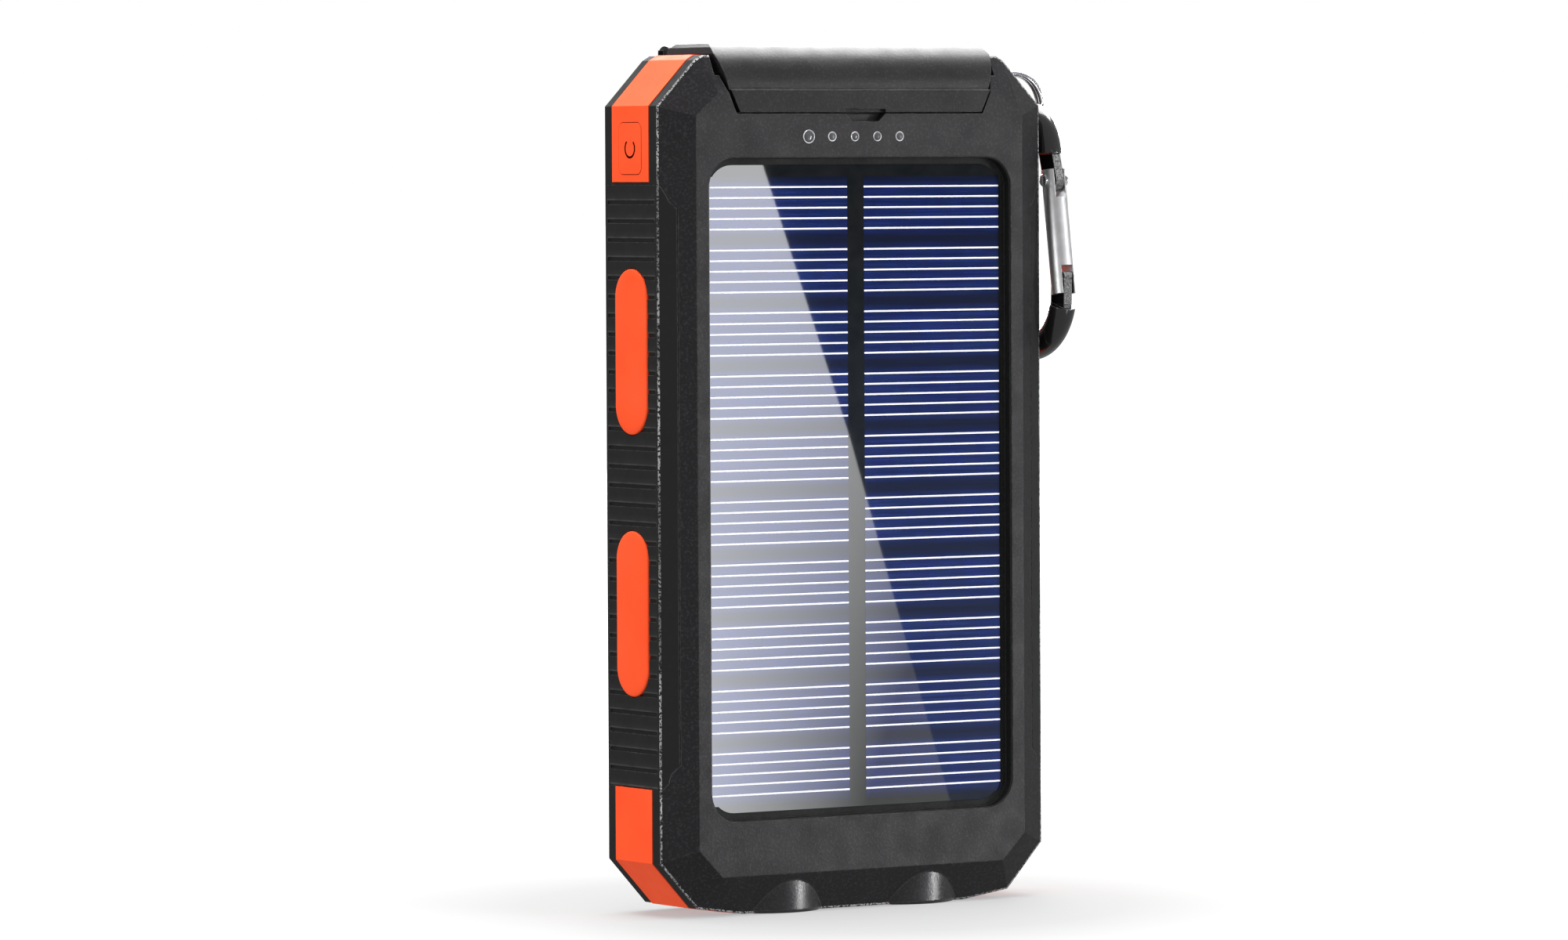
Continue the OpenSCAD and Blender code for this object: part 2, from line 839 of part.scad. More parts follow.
module rear_battery() {
    color([0.75, 0.77, 0.8]) flat_cell(-5.9 + cell_box[1] + foam_t);
}

module battery_foam() {
    y = -5.9 + cell_box[1];
    color("black") block([-24, y, cell_box_z + 6], [24, y + foam_t, cell_box_z + cell_box[2] - 6]);
}

module battery_leads() {
    color("firebrick") for (x = [-16, 16])
        wire([[x, -2.8, cell_box_z + cell_box[2]], [x, -2.8, 112.4], [x * 1.15, -3.6, 114.6]], lead_r);
}

module torch_lead(s) {
    wire([[s * torch_x, 2, 16.2], [s * torch_x, 2, 19.5], [s * 31.8, 2, 19.5], [s * 31.8, 2, 113],
          [s * 25, -3.6, 115]], lead_r);
}

module torch_lead_left() {
    color("firebrick") torch_lead(-1);
}

module torch_lead_right() {
    color("firebrick") torch_lead(1);
}

module torch_lens(x) {
    color([0.85, 0.9, 0.95, 0.4]) rod_z(x, 0, lens_r, strip_t, strip_t + lens_t);
}

module torch_lens_left() {
    torch_lens(-torch_x);
}

module torch_lens_right() {
    torch_lens(torch_x);
}

// Conical reflector cup with a hole for the light at its small end
module reflector(x) {
    low = strip_t + lens_t;
    color("white") translate([x, 0, low]) rotate_extrude()
        polygon([[lens_r, 0], [6.9, 0], [6, 4.4], [4.6, 8.2], [2.6, reflector_top - low],
                 [3.6, reflector_top - low], [5.6, 8.2], [lens_r, 3]]);
}

module reflector_left() {
    reflector(-torch_x);
}

module reflector_right() {
    reflector(torch_x);
}

module torch_led(x) {
    color([0.95, 0.9, 0.5]) {
        rod_z(x, 0, 6.8, reflector_top, reflector_top + 1.6);
        translate([x, 0, reflector_top]) intersection() {
            sphere(r = 1.7, $fn = 48);
            block([-3, -3, -3], [3, 3, 0.1]);
        }
    }
}

module torch_led_left() {
    torch_led(-torch_x);
}

module torch_led_right() {
    torch_led(torch_x);
}

module compass_bowl() {
    color([0.07, 0.07, 0.07]) difference() {
        union() {
            rod_y(0, compass_z, bowl_r, 5.4, bowl_back);
            rod_y(0, compass_z, bezel_r, bowl_back - 0.7, bowl_back);
        }
        rod_y(0, compass_z, bowl_in_r, 6.2, 20);
        rod_y(0, compass_z, 6.9, bowl_back - 0.4, 20);
    }
}

module compass_pivot() {
    color("silver") {
        rod_y(0, compass_z, 0.8, 6.2, 6.8);
        translate([0, 6.8, compass_z]) rotate([-90, 0, 0]) cylinder(r1 = 0.5, r2 = 0.1, h = 1.9);
    }
}

module compass_card() {
    color([0.08, 0.08, 0.08]) difference() {
        rod_y(0, compass_z, card_r, 8.4, 9);
        translate([0, 7, compass_z]) rotate([-90, 0, 0]) cylinder(r1 = 1.2, r2 = 0.15, h = 1.9);
    }
}

module compass_dome() {
    color([0.8, 0.85, 0.9, 0.3]) difference() {
        rod_y(0, compass_z, 6.85, bowl_back - 0.4, bowl_back + 0.15);
        rod_y(0, compass_z, 5.9, bowl_back - 1, bowl_back - 0.2);
    }
}

module case_screws() {
    color("silver") for (s = screw_spots) {
        rod_y(s[0], s[1], screw_r - 0.1, -4.5, 5.6);
        difference() {
            rod_y(s[0], s[1], head_r, 5.5, 7);
            for (a = [0, 90]) translate([s[0], 6.8, s[1]]) rotate([0, a, 0])
                cube([2, 0.8, 0.5], center = true);
        }
    }
}

module screw_plugs() {
    color([0.17, 0.17, 0.17]) for (s = screw_spots)
        rod_y(s[0], s[1], plug_r - 0.12, back_y - 1.2, back_y - 0.05);
}

module split_ring() {
    color("silver") translate([ring_at[0], 0, ring_at[1]]) rotate([90, 0, 0])
        rotate_extrude($fn = 96)
            for (y = [-coil_y, coil_y]) translate([split_r, y]) circle(r = wire_r, $fn = 32);
}

// Quarter or half bow of the hook: c holds y, z and radius, swept from angle a for turn degrees
module hook_bow(c, a, turn) {
    translate([hook_x, c[0], c[1]]) rotate([0, 90, 0]) rotate([0, 0, a])
        rotate_extrude(angle = turn, $fn = 96) translate([c[2], 0]) circle(r = hook_r, $fn = 32);
}

// Outline of a bar with round ends, standing length high on its lower centre
function capsule(length, r) = concat(
    [for (i = [0 : 20]) [r * cos(i * 9), length + r * sin(i * 9)]],
    [for (i = [0 : 20]) [-r * cos(i * 9), -r * sin(i * 9)]]
);

// Flat tang of the hook from point a up to point b, with round ends
module tang(a, b) {
    lean = atan2(b[0] - a[0], b[1] - a[1]);
    translate([hook_x - tang_t / 2, a[0], a[1]]) rotate([-lean, 0, 0]) rotate([90, 0, 90])
        linear_extrude(tang_t) polygon(capsule(norm(b - a), tang_r));
}

module hook_body() {
    spine_y = hook_top[0] + hook_top[2];
    color([0.06, 0.06, 0.06]) difference() {
        union() {
            hook_bow(hook_top, 90, top_turn);
            hook_bow(hook_low, 90 - low_turn, low_turn);
            rod_z(hook_x, spine_y, hook_r + 0.02, hook_low[1] - 0.2, hook_top[1] + 0.2);
            tang(gate_pin, [-6.75, 125.9]);
            tang([-10.35, 98.2], [-10.5, 103.2]);
            rod_x(hook_x - 1.05, hook_x + 1.05, -11.9, 104.4, 0.6);
        }
        rod_x(30, 60, gate_pin[0], gate_pin[1], rivet_r + 0.05);
    }
}

// Gate tube with a slit at each end, drawn along its own axis below the pivot
module hook_gate() {
    color("silver") translate([hook_x, gate_pin[0], gate_pin[1]]) rotate([-gate_lean, 0, 0]) difference() {
        rod_z(0, 0, gate_r, -gate_len, gate_head);
        rod_z(0, 0, 1.2, -gate_len + 5.4, -4.6);
        block([-slit_t / 2, -5, -3.1], [slit_t / 2, 5, 5]);
        block([-nose_slit_t / 2, -5, -gate_len - 1], [nose_slit_t / 2, 5, -gate_len + 4.7]);
        rod_x(-5, 5, 0, 0, rivet_r);
    }
}

module hook_rivet() {
    color("silver") translate([hook_x, gate_pin[0], gate_pin[1]]) {
        rod_x(-2.2, 2.2, 0, 0, rivet_r);
        for (s = [-1, 1]) rod_x(s < 0 ? -2.45 : 2.02, s < 0 ? -2.02 : 2.45, 0, 0, 1.05);
    }
}

// Spring wire inside the gate tube
module gate_spring() {
    color("gray") translate([hook_x, gate_pin[0], gate_pin[1]]) rotate([-gate_lean, 0, 0])
        rod_z(0, 0, 0.3, -gate_len + 5.4, -4.6);
}

front_shell();
back_shell();
gasket_strips();
bumper_end();
corner_guard_left();
corner_guard_right();
grip_left();
grip_right();
grip_pads_left();
grip_pads_right();
corner_strip_left();
corner_strip_right();
torch_strip();
solar_board();
solar_cells();
panel_resin();
panel_leads();
indicator_lenses();
indicator_leds();
circuit_board();
board_parts();
power_switch();
power_button();
usb_shell_left();
usb_shell_right();
usb_tongue_left();
usb_tongue_right();
micro_usb_shell();
micro_usb_tongue();
port_frame();
port_cover();
port_cover_seal();
hinge_pin();
front_battery();
rear_battery();
battery_foam();
battery_leads();
torch_lead_left();
torch_lead_right();
torch_lens_left();
torch_lens_right();
reflector_left();
reflector_right();
torch_led_left();
torch_led_right();
compass_bowl();
compass_pivot();
compass_card();
compass_dome();
case_screws();
screw_plugs();
split_ring();
hook_body();
hook_gate();
hook_rivet();
gate_spring();
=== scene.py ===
"""Looks for the solar power bank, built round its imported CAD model."""
import math

import bmesh
import bpy
from mathutils import Matrix, Vector


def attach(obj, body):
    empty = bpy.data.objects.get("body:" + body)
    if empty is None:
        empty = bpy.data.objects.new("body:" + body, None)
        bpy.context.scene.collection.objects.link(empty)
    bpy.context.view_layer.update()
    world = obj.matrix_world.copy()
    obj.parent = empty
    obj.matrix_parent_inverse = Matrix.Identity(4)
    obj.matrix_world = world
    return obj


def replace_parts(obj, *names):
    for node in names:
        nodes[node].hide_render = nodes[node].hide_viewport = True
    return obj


MM = 0.001
TORCH_X = 13.4
COMPASS_Z = 128.4
HOOK_X = 40.75
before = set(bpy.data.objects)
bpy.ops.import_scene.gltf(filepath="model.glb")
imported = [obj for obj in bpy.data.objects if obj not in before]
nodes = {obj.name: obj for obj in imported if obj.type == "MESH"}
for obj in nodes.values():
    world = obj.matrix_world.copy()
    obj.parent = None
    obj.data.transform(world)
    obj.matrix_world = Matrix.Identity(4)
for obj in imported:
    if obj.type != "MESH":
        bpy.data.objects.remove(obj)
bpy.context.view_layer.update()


scene = bpy.context.scene

# ---------------------------------------------------------------- camera

CAMERA_PLACE = Vector((-736.12, -1111.47, 123.94)) * MM
CAMERA_YAW = math.radians(33.218)
CAMERA_PITCH = math.radians(2.213)
CAMERA_ROLL = math.radians(-0.275)


def make_camera():
    """A long lens at the photograph's viewing angle."""
    data = bpy.data.cameras.new("camera")
    data.sensor_width = 36
    data.lens = 184.0
    data.clip_start = 0.05
    data.clip_end = 60
    camera = bpy.data.objects.new("camera", data)
    back = Vector((-math.sin(CAMERA_YAW) * math.cos(CAMERA_PITCH),
                   -math.cos(CAMERA_YAW) * math.cos(CAMERA_PITCH),
                   math.sin(CAMERA_PITCH)))
    right = Vector((0, 0, 1)).cross(back).normalized()
    up = back.cross(right)
    rolled = right * math.cos(CAMERA_ROLL) + up * math.sin(CAMERA_ROLL)
    turn = Matrix((rolled, back.cross(rolled), back)).transposed().to_4x4()
    camera.matrix_world = Matrix.Translation(CAMERA_PLACE) @ turn
    scene.collection.objects.link(camera)
    scene.camera = camera


make_camera()

# ---------------------------------------------------------------- material tools


class Tree:
    """A material's node tree, with short calls for the nodes used here."""

    def __init__(self, name):
        self.material = bpy.data.materials.new(name)
        self.material.use_nodes = True
        self.nodes = self.material.node_tree.nodes
        self.links = self.material.node_tree.links
        self.shader = self.nodes["Principled BSDF"]
        self.place = self.add("ShaderNodeTexCoord").outputs["Object"]

    def add(self, kind, **settings):
        """Adds a node of a kind and sets its properties."""
        node = self.nodes.new(kind)
        for key, value in settings.items():
            setattr(node, key, value)
        return node

    def put(self, socket, value):
        """Links value to socket if it is an output, or else sets it."""
        if isinstance(value, bpy.types.NodeSocket):
            self.links.new(value, socket)
        elif isinstance(value, (tuple, list)) and len(value) == 3 and len(socket.default_value) == 4:
            socket.default_value = (*value, 1)
        else:
            socket.default_value = value

    def set(self, **values):
        """Sets the shader's sockets, by name with underscores for spaces."""
        for key, value in values.items():
            self.put(self.shader.inputs[key.replace("_", " ")], value)

    def math(self, operation, a, b=0.0):
        """Result of a maths node on one or two numbers."""
        node = self.add("ShaderNodeMath", operation=operation)
        self.put(node.inputs[0], a)
        self.put(node.inputs[1], b)
        return node.outputs[0]

    def axis(self, name):
        """X, Y or Z of the object coordinates, in metres."""
        node = self.add("ShaderNodeSeparateXYZ")
        self.put(node.inputs[0], self.place)
        return node.outputs[name]

    def noise(self, size, detail=3.0, rough=0.5, stretch=None):
        """Noise with features about size millimetres across."""
        where = self.place
        if stretch:
            scaled = self.add("ShaderNodeMapping")
            self.put(scaled.inputs["Vector"], self.place)
            self.put(scaled.inputs["Scale"], stretch)
            where = scaled.outputs[0]
        node = self.add("ShaderNodeTexNoise")
        self.put(node.inputs["Vector"], where)
        self.put(node.inputs["Scale"], 1 / (size * MM))
        self.put(node.inputs["Detail"], detail)
        self.put(node.inputs["Roughness"], rough)
        return node.outputs["Fac"]

    def crystals(self, size):
        """Colours of Voronoi cells about size millimetres across."""
        node = self.add("ShaderNodeTexVoronoi")
        self.put(node.inputs["Vector"], self.place)
        self.put(node.inputs["Scale"], 1 / (size * MM))
        return node.outputs["Color"]

    def steps(self, value, *stops):
        """Colour ramp through (position, grey or colour) stops."""
        node = self.add("ShaderNodeValToRGB")
        ramp = node.color_ramp
        while len(ramp.elements) < len(stops):
            ramp.elements.new(0.5)
        for element, (position, colour) in zip(ramp.elements, stops):
            element.position = position
            grey = isinstance(colour, (int, float))
            element.color = (colour, colour, colour, 1) if grey else (*colour, 1)
        self.put(node.inputs[0], value)
        return node.outputs[0]

    def span(self, value, low, high, to_low, to_high):
        """Maps value from low..high to to_low..to_high, clamped."""
        node = self.add("ShaderNodeMapRange")
        for socket, number in zip(node.inputs, (value, low, high, to_low, to_high)):
            self.put(socket, number)
        return node.outputs[0]

    def blend(self, factor, a, b, mode="MIX"):
        """Colour a where factor is 0 and b where it is 1."""
        node = self.add("ShaderNodeMix", data_type="RGBA", blend_type=mode)
        self.put(node.inputs[0], factor)
        self.put(node.inputs[6], a)
        self.put(node.inputs[7], b)
        return node.outputs[2]

    def bump(self, height, strength, depth, under=None):
        """Bump of depth millimetres, on top of another normal if given."""
        node = self.add("ShaderNodeBump")
        self.put(node.inputs["Height"], height)
        self.put(node.inputs["Strength"], strength)
        self.put(node.inputs["Distance"], depth * MM)
        if under is not None:
            self.put(node.inputs["Normal"], under)
        return node.outputs[0]

    def soft_edges(self, radius=0.25):
        """Normals rounded over edges by radius millimetres."""
        node = self.add("ShaderNodeBevel", samples=6)
        self.put(node.inputs["Radius"], radius * MM)
        return node.outputs[0]

    def edge_mask(self, radius=0.3):
        """1 close to a sharp edge and 0 on flat ground."""
        round_normal = self.soft_edges(radius)
        dot = self.add("ShaderNodeVectorMath", operation="DOT_PRODUCT")
        self.put(dot.inputs[0], round_normal)
        self.put(dot.inputs[1], self.add("ShaderNodeNewGeometry").outputs["Normal"])
        return self.span(dot.outputs["Value"], 0.995, 0.9, 0.0, 1.0)


def between(tree, name, low, high, soft=0.05):
    """1 where the object's X, Y or Z lies between low and high millimetres."""
    where = tree.axis(name)
    above = tree.span(where, (low - soft) * MM, low * MM, 0, 1)
    below = tree.span(where, high * MM, (high + soft) * MM, 1, 0)
    return tree.math("MULTIPLY", above, below)


def rub_and_edge_glint_line(tree, low, high):
    """Broken pale line of specks where Y lies between low and high millimetres: rubbed wear and a painted
    highlight along the edge where the front meets the side band.
    """
    specks = tree.span(tree.noise(0.4, 3, 0.6), 0.46, 0.53, 0, 1)
    patches = tree.span(tree.noise(12, 2), 0.4, 0.55, 0.35, 1)
    return tree.math("MULTIPLY", tree.math("MULTIPLY", specks, patches), between(tree, "Y", low, high))


GRAIN_MM = 0.4
GRAIN_DEPTH_MM = 0.045
BULGE_REACH = 10.6
BULGE_TOP = 9.0


def moulded(name, colour, rough=0.5, wear=0.35, line=None, gloss=0.24, bulges=False, crest=None):
    """Textured moulded plastic with faint mottling and paler, worn edges.

    line is a stretch of Y with a rubbed seam that also carries a painted edge highlight, bulges makes the
    torch bulges smoother, and crest is the stretch of Z over which the gloss rises to its full value.
    """
    tree = Tree(name)
    mottle = tree.noise(9, 2)
    fine = tree.noise(GRAIN_MM, 3, 0.6)
    dark = tuple(part * 0.96 for part in colour)
    pale = tuple(min(1, part * 1.04) for part in colour)
    base = tree.blend(tree.span(mottle, 0.35, 0.65, 0, 1), dark, pale)
    speck = tree.blend(tree.span(fine, 0.5, 0.68, 0, 0.8), base, tuple(min(1, p * 2.3) for p in colour))
    rubs = tree.span(tree.noise(1.1, 4, 0.7), 0.45, 0.62, 0.1, wear)
    scuffs = tree.math("MULTIPLY", tree.edge_mask(0.2), rubs)
    shade = tree.blend(scuffs, speck, (0.3, 0.3, 0.3))
    if line:
        # Painted highlight, with rubbed wear: pale specks along the front edge of the side band.
        shade = tree.blend(rub_and_edge_glint_line(tree, *line), shade, (0.45, 0.45, 0.45))
    dull = tree.span(tree.noise(4, 3), 0.3, 0.7, rough - 0.05, rough + 0.07)
    shine = gloss
    if bulges:
        across = tree.math("SUBTRACT", tree.math("ABSOLUTE", tree.axis("X")), TORCH_X * MM)
        squares = tree.math("ADD", tree.math("POWER", across, 2.0), tree.math("POWER", tree.axis("Y"), 2.0))
        reach = tree.math("SQRT", squares)
        on_bulge = tree.span(reach, (BULGE_REACH - 0.05) * MM, (BULGE_REACH + 0.1) * MM, 1, 0)
        below_top = tree.span(tree.axis("Z"), BULGE_TOP * MM, (BULGE_TOP + 0.3) * MM, 1, 0)
        smooth = tree.math("MULTIPLY", on_bulge, below_top)
        dull = tree.math("SUBTRACT", dull, tree.math("MULTIPLY", smooth, 0.17))
        shine = tree.span(smooth, 0, 1, gloss, 0.4)
    if crest:
        shine = tree.span(tree.axis("Z"), crest[0] * MM, crest[1] * MM, 0.12, gloss)
    tree.set(Base_Color=shade, Roughness=dull, Specular_IOR_Level=shine,
             Normal=tree.bump(fine, 0.55, GRAIN_DEPTH_MM, tree.soft_edges()))
    return tree.material


def rubber(name, colour, line=None, ribs=False):
    """Matte rubber with faint dust, soft edges and, on the grips, painted highlights: paler lines beside the
    ribs.
    """
    tree = Tree(name)
    dust = tree.span(tree.noise(0.6, 4, 0.7), 0.55, 0.8, 0, 0.5)
    base = tree.blend(dust, colour, tuple(part * 2.0 for part in colour))
    worn = tree.math("MULTIPLY", tree.edge_mask(0.18), tree.span(tree.noise(0.8, 4), 0.42, 0.6, 0.1, 0.6))
    shade = tree.blend(worn, base, (0.1, 0.105, 0.1))
    if ribs:
        # Painted highlight: a pale line just above each rib groove, where light would catch its edge.
        height = tree.math("SUBTRACT", tree.axis("Z"), 24.2 * MM)
        phase = tree.math("FRACT", tree.math("MULTIPLY", height, 1 / (3.1 * MM)))
        pale = tree.steps(phase, (0.0, 0.0), (0.07, 0.0), (0.1, 0.8), (0.14, 0.8), (0.2, 0.12), (0.5, 0.0))
        rib_highlight_line = tree.math("MULTIPLY", pale, tree.span(tree.noise(2.5, 3), 0.3, 0.6, 0.4, 1))
        on_band = between(tree, "Y", -7.2, 7.2, 0.3)
        shade = tree.blend(tree.math("MULTIPLY", rib_highlight_line, on_band), shade, (0.06, 0.063, 0.06))
    if line:
        # Painted highlight, with rubbed wear: pale specks along the grip's front edge.
        shade = tree.blend(rub_and_edge_glint_line(tree, *line), shade, (0.35, 0.35, 0.35))
    tree.set(Base_Color=shade,
             Roughness=tree.span(tree.noise(3, 2), 0.3, 0.7, 0.62, 0.74),
             Normal=tree.bump(tree.noise(0.25, 2), 0.4, 0.02, tree.soft_edges(0.3)))
    tree.shader.inputs["Specular IOR Level"].default_value = 0.26
    return tree.material


def orange_plastic(name, round_mm):
    """Satin orange plastic with a hint of mould texture."""
    tree = Tree(name)
    shade = tree.span(tree.noise(12, 2), 0.3, 0.7, 0, 1)
    fine = tree.noise(0.3, 2)
    tree.set(Base_Color=tree.blend(shade, (0.95, 0.086, 0.022), (1.0, 0.104, 0.03)),
             Roughness=tree.span(tree.noise(2, 3), 0.3, 0.7, 0.42, 0.52),
             Normal=tree.bump(fine, 0.35, 0.015, tree.soft_edges(round_mm)))
    tree.shader.inputs["Specular IOR Level"].default_value = 0.05
    return tree.material


def metal(name, colour, rough=0.22, scratch=0.25, stretch=(1, 1, 8)):
    """Bare metal with fine drawn scratches."""
    tree = Tree(name)
    lines = tree.noise(0.5, 4, 0.65, stretch)
    cloud = tree.span(tree.noise(2, 2), 0.35, 0.65, 0, 1)
    tree.set(Base_Color=tree.blend(cloud, tuple(0.9 * p for p in colour), colour),
             Roughness=tree.span(lines, 0.3, 0.7, rough * 0.8, rough * 1.3),
             Normal=tree.bump(lines, scratch, 0.01, tree.soft_edges(0.15)))
    tree.shader.inputs["Metallic"].default_value = 1
    return tree.material


def gloss_paint(name, colour, rough=0.16):
    """Gloss coating with faint orange peel and rubbed edges."""
    tree = Tree(name)
    peel = tree.noise(1.4, 2)
    rub = tree.math("MULTIPLY", tree.edge_mask(0.15), tree.span(tree.noise(0.9, 3), 0.5, 0.62, 0, 0.4))
    tree.set(Base_Color=tree.blend(rub, colour, (0.3, 0.3, 0.3)),
             Roughness=tree.span(tree.noise(2.5, 3), 0.3, 0.7, rough * 0.8, rough * 1.4),
             Normal=tree.bump(peel, 0.2, 0.02, tree.soft_edges(0.2)))
    tree.shader.inputs["Coat Weight"].default_value = 0.6
    tree.shader.inputs["Coat Roughness"].default_value = 0.06
    return tree.material


def hook_paint():
    """Gloss black coat, with raw speckled metal on the milled ends of the tangs."""
    tree = Tree("hook_black")
    high = between(tree, "Z", 118.3, 124.7)
    low = between(tree, "Z", 99.7, 105.4)
    thin = between(tree, "X", 39.98, 41.52, 0.02)
    facing = tree.add("ShaderNodeSeparateXYZ")
    tree.put(facing.inputs[0], tree.add("ShaderNodeTexCoord").outputs["Normal"])
    edge = tree.span(tree.math("ABSOLUTE", facing.outputs["X"]), 0.5, 0.7, 1, 0)
    milled = tree.math("MULTIPLY", tree.math("MAXIMUM", high, low), between(tree, "Y", -14, -3))
    raw = tree.math("MULTIPLY", milled, tree.math("MULTIPLY", thin, edge))
    grit = tree.noise(0.28, 4, 0.7)
    bare = tree.blend(tree.span(grit, 0.38, 0.62, 0, 1), (0.04, 0.04, 0.04), (0.3, 0.3, 0.3))
    rub = tree.math("MULTIPLY", tree.edge_mask(0.15), tree.span(tree.noise(0.9, 3), 0.45, 0.6, 0.1, 0.6))
    tree.set(Base_Color=tree.blend(raw, tree.blend(rub, (0.007, 0.007, 0.008), (0.4, 0.4, 0.4)), bare),
             Roughness=tree.span(milled, 0, 1, 0.2, 0.55),
             Specular_IOR_Level=tree.span(milled, 0, 1, 0.5, 0.0),
             Coat_Weight=tree.span(milled, 0, 1, 0.6, 0),
             Normal=tree.bump(grit, tree.span(raw, 0, 1, 0.05, 0.6), 0.03, tree.soft_edges(0.2)))
    tree.shader.inputs["Coat Roughness"].default_value = 0.06
    return tree.material


def clear(name, colour, rough=0.03):
    """Clear moulded lens with a faint ripple."""
    tree = Tree(name)
    cloud = tree.span(tree.noise(2, 2), 0.3, 0.7, 0, 1)
    tree.set(Base_Color=tree.blend(cloud, tuple(0.97 * p for p in colour), colour),
             Roughness=rough, Normal=tree.bump(tree.noise(1.5, 2), 0.08, 0.01))
    tree.shader.inputs["Transmission Weight"].default_value = 1
    tree.shader.inputs["IOR"].default_value = 1.49
    return tree.material


def plain_plastic(name, colour, rough=0.35):
    """Smooth plastic with a little cloudiness."""
    tree = Tree(name)
    cloud = tree.span(tree.noise(1.6, 3), 0.3, 0.7, 0, 1)
    tree.set(Base_Color=tree.blend(cloud, tuple(0.86 * p for p in colour), colour),
             Roughness=tree.span(tree.noise(0.9, 2), 0.3, 0.7, rough * 0.85, rough * 1.2),
             Normal=tree.bump(tree.noise(0.3, 2), 0.25, 0.01, tree.soft_edges(0.1)))
    return tree.material


# ---------------------------------------------------------------- solar panel materials

CELL_LOW = 18.2
CELL_PITCH = 10.32
CELL_MARGIN = 0.12


def cell_material():
    """Deep blue crystal under clear resin, darker where two cells meet."""
    tree = Tree("solar_cell_blue")
    height = tree.math("SUBTRACT", tree.axis("Z"), (CELL_LOW - CELL_MARGIN) * MM)
    phase = tree.math("FRACT", tree.math("MULTIPLY", height, 1 / (CELL_PITCH * MM)))
    grain = tree.crystals(2.2)
    streak = tree.noise(0.35, 3, 0.6, (0.02, 1, 1))
    blue = tree.blend(tree.span(streak, 0.35, 0.65, 0, 1), (0.005, 0.012, 0.07), (0.01, 0.021, 0.122))
    mixed = tree.blend(0.12, blue, grain, "OVERLAY")
    seam = tree.steps(phase, (0.0, 0.95), (0.06, 0.8), (0.16, 0.0), (0.84, 0.0), (0.94, 0.8), (1.0, 0.95))
    tree.set(Base_Color=tree.blend(seam, mixed, (0.006, 0.008, 0.02)),
             Specular_Tint=tree.blend(seam, (0.08, 0.2, 0.75), (0.02, 0.05, 0.14)),
             Roughness=tree.span(streak, 0.3, 0.7, 0.1, 0.15))
    tree.shader.inputs["Specular IOR Level"].default_value = 0.32
    tree.shader.inputs["Coat Weight"].default_value = 1
    tree.shader.inputs["Coat Roughness"].default_value = 0.02
    tree.shader.inputs["Coat IOR"].default_value = 2.0
    return tree.material


def laminate_material():
    """Black backing under clear resin."""
    tree = Tree("laminate_black")
    cloud = tree.span(tree.noise(3, 3), 0.3, 0.7, 0, 1)
    tree.set(Base_Color=tree.blend(cloud, (0.006, 0.007, 0.006), (0.013, 0.014, 0.013)),
             Roughness=tree.span(tree.noise(1, 3), 0.3, 0.7, 0.35, 0.5))
    tree.shader.inputs["Specular IOR Level"].default_value = 0.0
    tree.shader.inputs["Coat Weight"].default_value = 1
    tree.shader.inputs["Coat Roughness"].default_value = 0.02
    tree.shader.inputs["Coat IOR"].default_value = 2.0
    return tree.material


def finger_material():
    """Printed silver contact lines, nearly white."""
    tree = Tree("silver_print")
    cloud = tree.span(tree.noise(0.4, 3), 0.3, 0.7, 0, 1)
    tree.set(Base_Color=tree.blend(cloud, (0.82, 0.83, 0.86), (0.95, 0.95, 0.97)),
             Roughness=tree.span(tree.noise(0.5, 2), 0.3, 0.7, 0.3, 0.45))
    return tree.material


# ---------------------------------------------------------------- mesh tools


def finish_mesh(name, mesh_data, body, material, smooth=False):
    """Turns a bmesh into a piece that rides on a body."""
    bmesh.ops.recalc_face_normals(mesh_data, faces=mesh_data.faces)
    mesh = bpy.data.meshes.new(name)
    mesh_data.to_mesh(mesh)
    mesh_data.free()
    for polygon in mesh.polygons:
        polygon.use_smooth = smooth
    piece = bpy.data.objects.new(name, mesh)
    scene.collection.objects.link(piece)
    mesh.materials.append(material)
    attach(piece, body)
    return piece


def add_box(mesh_data, low, high):
    """Adds a box from its low to its high corner, in millimetres."""
    corners = [mesh_data.verts.new(Vector((x, y, z)) * MM)
               for x in (low[0], high[0]) for y in (low[1], high[1]) for z in (low[2], high[2])]
    for face in ((0, 1, 3, 2), (4, 6, 7, 5), (0, 4, 5, 1), (2, 3, 7, 6), (0, 2, 6, 4), (1, 5, 7, 3)):
        mesh_data.faces.new([corners[i] for i in face])


def add_prism(mesh_data, outline, y_front, y_back):
    """Adds a prism of an outline of X and Z, from y_front to y_back, in millimetres."""
    rings = [[mesh_data.verts.new(Vector((x, y, z)) * MM) for x, z in outline] for y in (y_front, y_back)]
    mesh_data.faces.new(rings[0])
    mesh_data.faces.new(rings[1][::-1])
    count = len(outline)
    for i in range(count):
        j = (i + 1) % count
        mesh_data.faces.new([rings[0][i], rings[1][i], rings[1][j], rings[0][j]])


def rounded_outline(x0, x1, z0, z1, r, steps=10):
    """Outline of a rectangle with round corners."""
    points = []
    corners = ((x1 - r, z1 - r, 0), (x0 + r, z1 - r, 90), (x0 + r, z0 + r, 180), (x1 - r, z0 + r, 270))
    for cx, cz, start in corners:
        for i in range(steps + 1):
            a = math.radians(start + 90 * i / steps)
            points.append((cx + r * math.cos(a), cz + r * math.sin(a)))
    return points


def set_material(material, *names):
    """Gives CAD nodes a material."""
    for name in names:
        mesh = nodes[name].data
        mesh.materials.clear()
        mesh.materials.append(material)


# ---------------------------------------------------------------- materials of the CAD nodes

